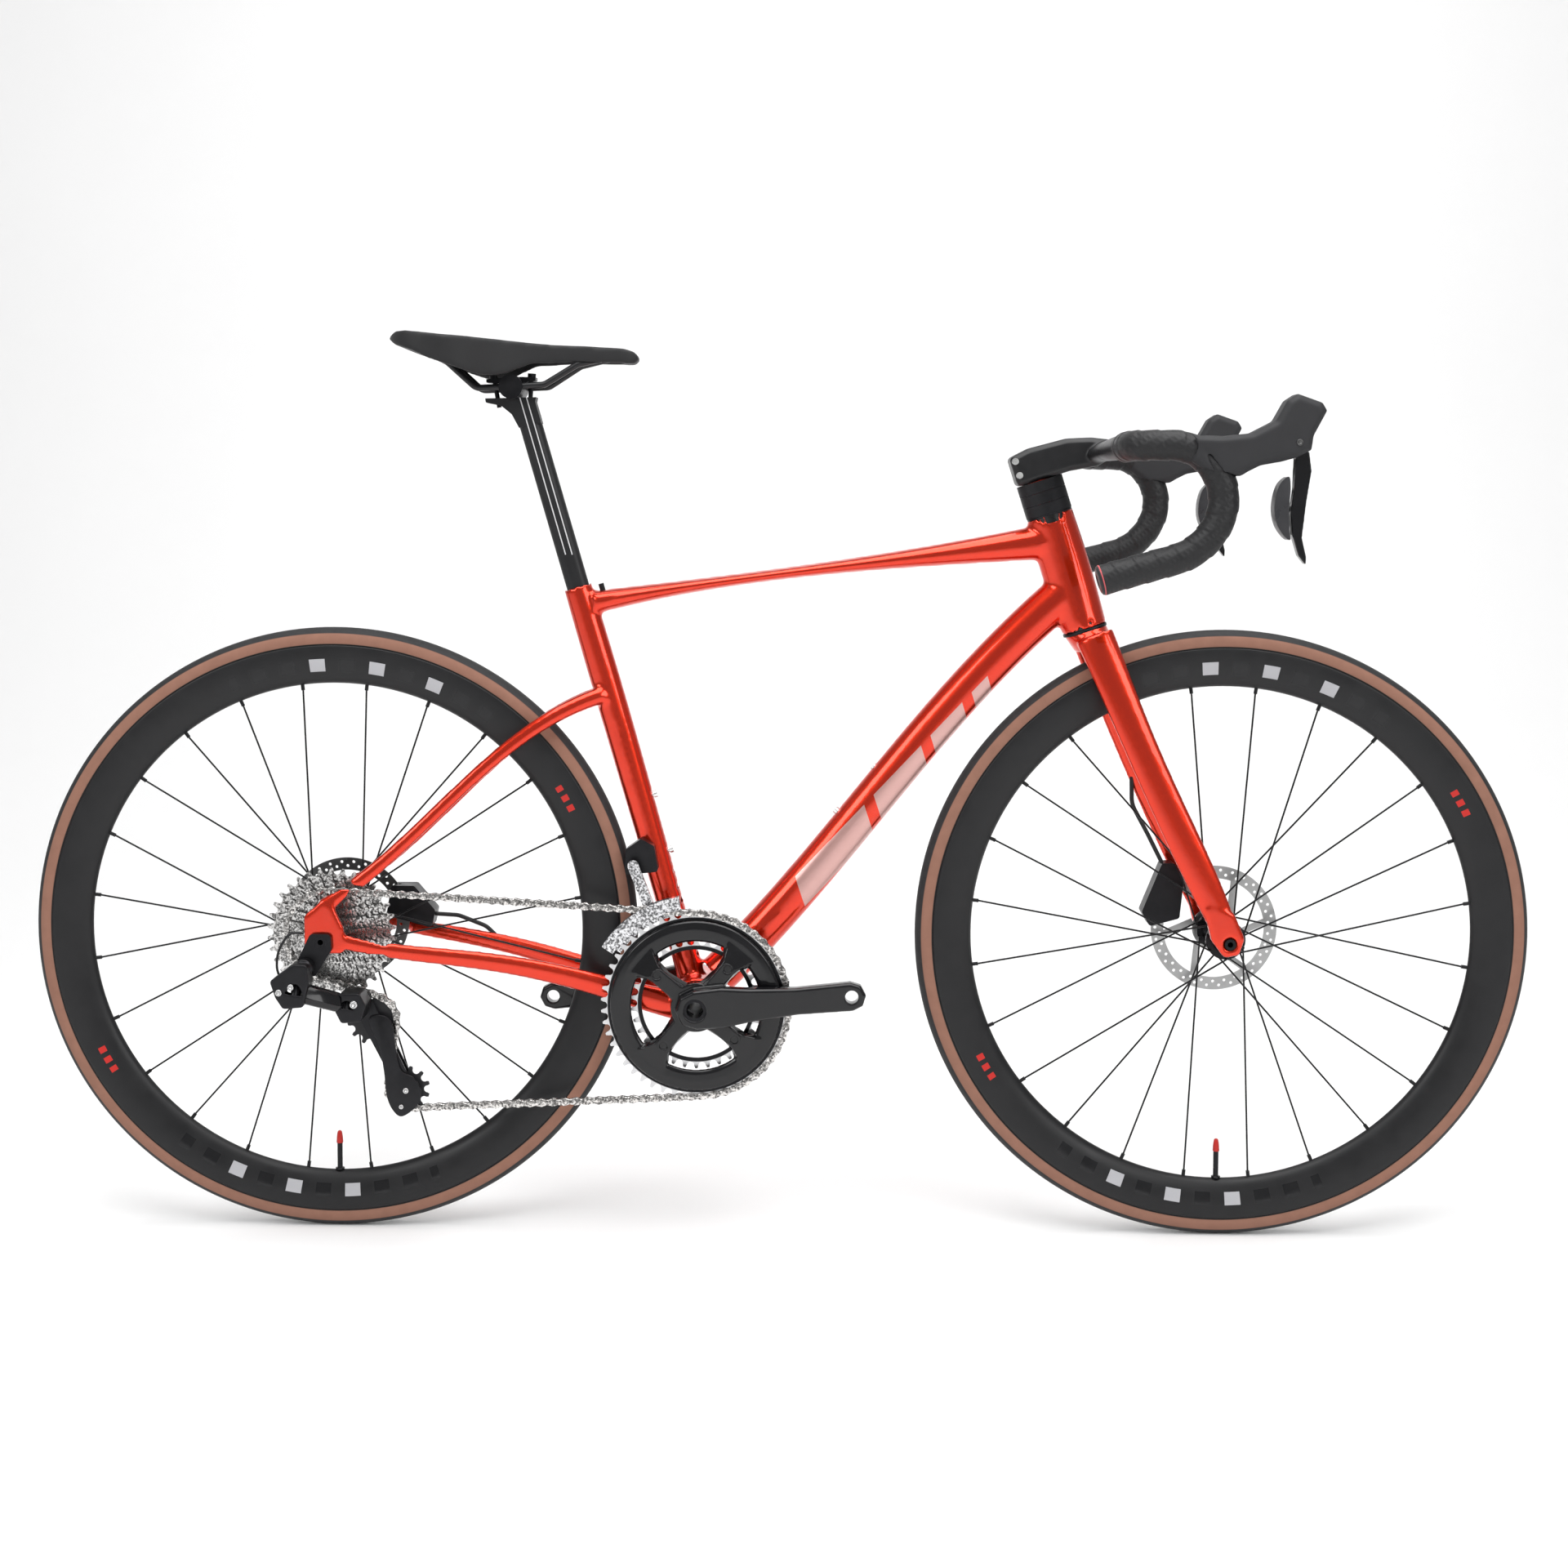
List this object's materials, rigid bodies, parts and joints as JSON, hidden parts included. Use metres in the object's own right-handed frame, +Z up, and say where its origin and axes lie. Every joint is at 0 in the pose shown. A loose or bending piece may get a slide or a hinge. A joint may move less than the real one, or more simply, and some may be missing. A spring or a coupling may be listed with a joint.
{
  "type": "road bicycle",
  "caption": "Road bicycle with drop bars, disc brakes and deep rims; the bars steer, and the wheels, cranks, sprockets, derailleurs, levers and seat move.",
  "frame": {"origin": "on the ground, midway between the two axles, in the bicycle's middle plane", "axes": "+X forward, +Y to the rider's left, +Z up; the drive side faces -Y"},
  "size_m": [1.6507, 0.4476, 0.992],
  "materials": {
    "frame_paint": "gloss metallic candy paint over moulded carbon fibre",
    "matte_carbon": "matte clear coat over moulded carbon fibre",
    "crank_gloss": "gloss black",
    "lever_gloss": "gloss black",
    "black_alloy": "black anodised",
    "ring_alloy": "black anodised with bare tooth tips",
    "black_moulding": "fine moulded texture",
    "paddle_plastic": "satin grey",
    "hood_rubber": "matte, lightly textured",
    "bar_tape": "embossed diagonal pattern",
    "hose_jacket": "smooth",
    "tyre": "black tread with tan sidewalls",
    "saddle_cover": "matte synthetic leather",
    "steel_bolt": "bare stainless",
    "bearing_steel": "ground steel",
    "spoke_steel": "black oxide",
    "rotor_steel": "ground, radial polish",
    "cog_steel": "satin nickel plate",
    "chain_steel": "satin nickel plate"
  },
  "bodies": {
    "frame": {"front_triangle": "frame_paint", "rear_stays": "frame_paint", "derailleur_hanger": "black_alloy", "bottom_bracket_cups": "black_alloy", "bottom_bracket_bearings": "bearing_steel", "headset_bearings": "bearing_steel", "bottle_bolts": "steel_bolt", "seat_clamp": "steel_bolt", "rear_thru_axle": "black_alloy", "rear_brake_caliper": "black_alloy", "rear_brake_hose": "hose_jacket", "front_derailleur_body": "black_moulding", "rear_derailleur_base": "black_alloy", "chain": "chain_steel"},
    "steering": {"fork": "frame_paint", "front_thru_axle": "black_alloy", "headset_spacers": "black_moulding", "handlebar": "matte_carbon", "stem_bolts": "steel_bolt", "bar_tape": "bar_tape", "bar_end_plugs": "black_moulding", "hood_right": "hood_rubber", "hood_left": "hood_rubber", "front_brake_caliper": "black_alloy", "front_brake_hose": "hose_jacket"},
    "brake_lever_right": {"brake_lever_right": "lever_gloss"},
    "brake_lever_left": {"brake_lever_left": "lever_gloss"},
    "shift_paddle_right": {"shift_paddle_right": "paddle_plastic"},
    "shift_paddle_left": {"shift_paddle_left": "paddle_plastic"},
    "front_wheel": {"front_tyre": "tyre", "front_rim": "matte_carbon", "front_spokes": "spoke_steel", "front_hub": "black_alloy", "front_rotor": "rotor_steel", "front_hub_bearings": "bearing_steel"},
    "rear_wheel": {"rear_tyre": "tyre", "rear_rim": "matte_carbon", "rear_spokes": "spoke_steel", "rear_hub": "black_alloy", "rear_rotor": "rotor_steel", "rear_hub_bearings": "bearing_steel"},
    "cassette": {"cassette": "cog_steel", "freehub": "black_alloy"},
    "crankset": {"crank_arm_right": "crank_gloss", "crank_arm_left": "crank_gloss", "crank_spindle": "bearing_steel", "big_chainring": "ring_alloy", "small_chainring": "ring_alloy", "chainring_bolts": "steel_bolt"},
    "fd_cage": {"fd_cage": "cog_steel"},
    "rd_outer_link": {"rd_outer_link": "black_alloy"},
    "rd_inner_link": {"rd_inner_link": "black_alloy"},
    "rd_lower_knuckle": {"rd_lower_knuckle": "black_alloy"},
    "rd_cage": {"rd_cage": "black_alloy"},
    "guide_pulley": {"guide_pulley": "black_moulding"},
    "tension_pulley": {"tension_pulley": "black_moulding"},
    "seatpost": {"seatpost": "matte_carbon"},
    "saddle": {"saddle": "saddle_cover", "saddle_rails": "black_alloy", "saddle_clamp": "black_alloy"}
  },
  "joints": [
    {"name": "steering", "type": "hinge", "parent": "frame", "child": "steering", "pos_m": [0.31684, 0, 0.73447], "axis": [-0.3024, 0, 0.9532], "range_deg": [-60, 60]},
    {"name": "front_wheel_spin", "type": "hinge", "parent": "steering", "child": "front_wheel", "pos_m": [0.4894, 0, 0.336], "axis": [0, 1, 0], "continuous": true},
    {"name": "rear_wheel_spin", "type": "hinge", "parent": "frame", "child": "rear_wheel", "pos_m": [-0.4894, 0, 0.336], "axis": [0, 1, 0], "continuous": true},
    {"name": "crank_spin", "type": "hinge", "parent": "frame", "child": "crankset", "pos_m": [-0.0864, 0, 0.2625], "axis": [0, 1, 0], "continuous": true, "deforming": ["chain"]},
    {"name": "cassette_spin", "type": "hinge", "parent": "frame", "child": "cassette", "pos_m": [-0.4894, 0, 0.336], "axis": [0, 1, 0], "continuous": true},
    {"name": "fd_shift", "type": "slide", "parent": "frame", "child": "fd_cage", "axis": [0, 1, 0], "range_m": [0, 0.0065]},
    {"name": "rd_swing", "type": "hinge", "parent": "frame", "child": "rd_outer_link", "pos_m": [-0.5134, -0.097, 0.286], "axis": [0.1212, 0.4477, 0.8859], "range_deg": [-31.7, 14.6]},
    {"name": "rd_inner_swing", "type": "hinge", "parent": "frame", "child": "rd_inner_link", "pos_m": [-0.5134, -0.084, 0.286], "axis": [0.1212, 0.4477, 0.8859], "range_deg": [-31.7, 14.6]},
    {"name": "rd_knuckle_swing", "type": "hinge", "parent": "rd_outer_link", "child": "rd_lower_knuckle", "pos_m": [-0.4634, -0.067, 0.264], "axis": [0.1212, 0.4477, 0.8859], "range_deg": [-14.6, 31.7]},
    {"name": "rd_cage_swing", "type": "hinge", "parent": "rd_lower_knuckle", "child": "rd_cage", "pos_m": [-0.4554, -0.045, 0.267], "axis": [0, 1, 0], "range_deg": [-25, 25], "stiffness_Nm_per_rad": 1.2},
    {"name": "guide_pulley_spin", "type": "hinge", "parent": "rd_cage", "child": "guide_pulley", "pos_m": [-0.4424, -0.0378, 0.242], "axis": [0, 1, 0], "continuous": true},
    {"name": "tension_pulley_spin", "type": "hinge", "parent": "rd_cage", "child": "tension_pulley", "pos_m": [-0.40516, -0.0378, 0.16504], "axis": [0, 1, 0], "continuous": true},
    {"name": "brake_lever_right_pull", "type": "hinge", "parent": "steering", "child": "brake_lever_right", "pos_m": [0.51679, -0.206, 0.86809], "axis": [0, 1, 0], "range_deg": [0, 18], "stiffness_Nm_per_rad": 2.5},
    {"name": "brake_lever_left_pull", "type": "hinge", "parent": "steering", "child": "brake_lever_left", "pos_m": [0.51679, 0.206, 0.86809], "axis": [0, 1, 0], "range_deg": [0, 18], "stiffness_Nm_per_rad": 2.5},
    {"name": "shift_paddle_right_push", "type": "hinge", "parent": "brake_lever_right", "child": "shift_paddle_right", "pos_m": [0.51032, -0.206, 0.80582], "axis": [-0.3024, 0, 0.9532], "range_deg": [0, 7], "stiffness_Nm_per_rad": 0.5},
    {"name": "shift_paddle_left_push", "type": "hinge", "parent": "brake_lever_left", "child": "shift_paddle_left", "pos_m": [0.51032, 0.206, 0.80582], "axis": [0.3024, 0, -0.9532], "range_deg": [0, 7], "stiffness_Nm_per_rad": 0.5},
    {"name": "seatpost_height", "type": "slide", "parent": "frame", "child": "seatpost", "axis": [-0.2773, 0, 0.9608], "range_m": [-0.04, 0.04]},
    {"name": "saddle_tilt", "type": "hinge", "parent": "seatpost", "child": "saddle", "pos_m": [-0.28852, 0, 0.93454], "axis": [0, 1, 0], "range_deg": [-5, 5]}
  ],
  "couplings": [
    {"joint": "cassette_spin", "follows": "crank_spin", "ratio": 2.0833},
    {"joint": "guide_pulley_spin", "follows": "crank_spin", "ratio": -3.8462},
    {"joint": "tension_pulley_spin", "follows": "crank_spin", "ratio": 4.5455},
    {"joint": "rd_inner_swing", "follows": "rd_swing", "ratio": 1},
    {"joint": "rd_knuckle_swing", "follows": "rd_swing", "ratio": -1}
  ]
}
